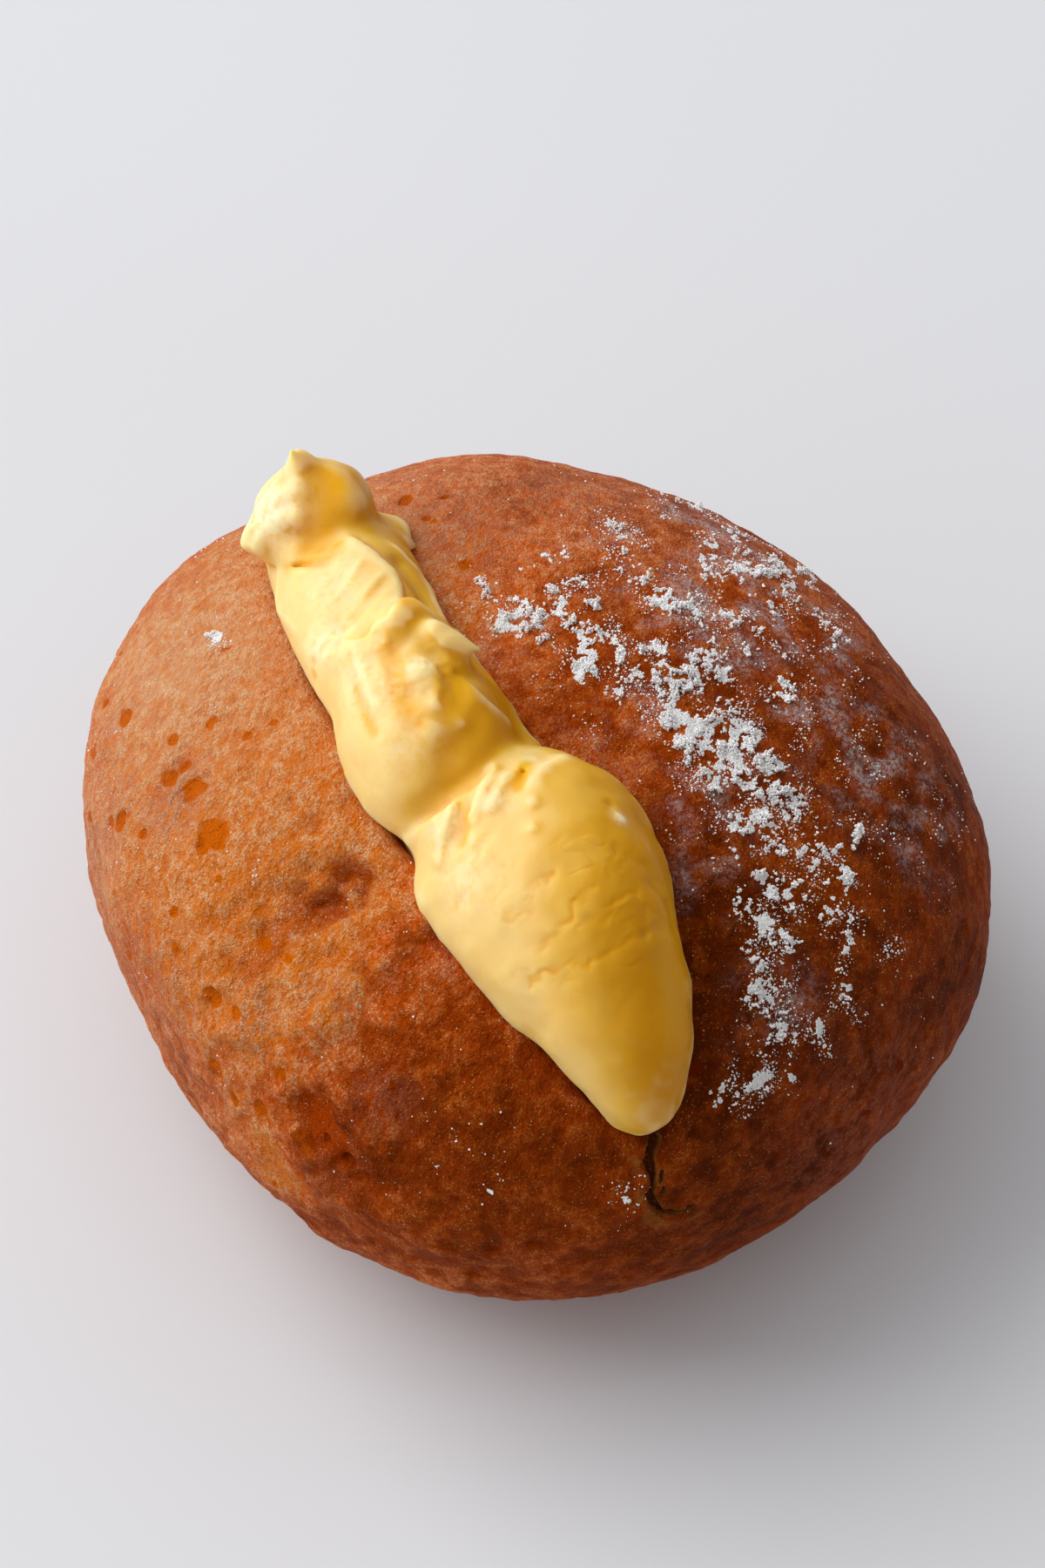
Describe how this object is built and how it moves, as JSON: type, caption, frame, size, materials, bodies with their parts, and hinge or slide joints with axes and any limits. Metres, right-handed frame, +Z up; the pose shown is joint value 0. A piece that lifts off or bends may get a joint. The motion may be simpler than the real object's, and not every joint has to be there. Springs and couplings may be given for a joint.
{
  "type": "bombolone",
  "caption": "Round fried yeast bun, slit over its top and piped with egg custard that stands out of the slit in overlapping lobes, dusted with icing sugar.",
  "frame": {"origin": "on the surface that the bun lies on, under the middle of its bounding box", "axes": "+Z up out of the bun's crown, +Y along the slit towards its far end, +X across the slit towards the bun's right side"},
  "size_m": [0.086, 0.0934, 0.0624],
  "materials": {
    "crust": "fried golden brown crust, satin with a little oil",
    "custard": "smooth set custard, moist",
    "sugar": "matt white icing sugar"
  },
  "bodies": {
    "root": {"bun": "crust", "custard": "custard"}
  },
  "joints": []
}
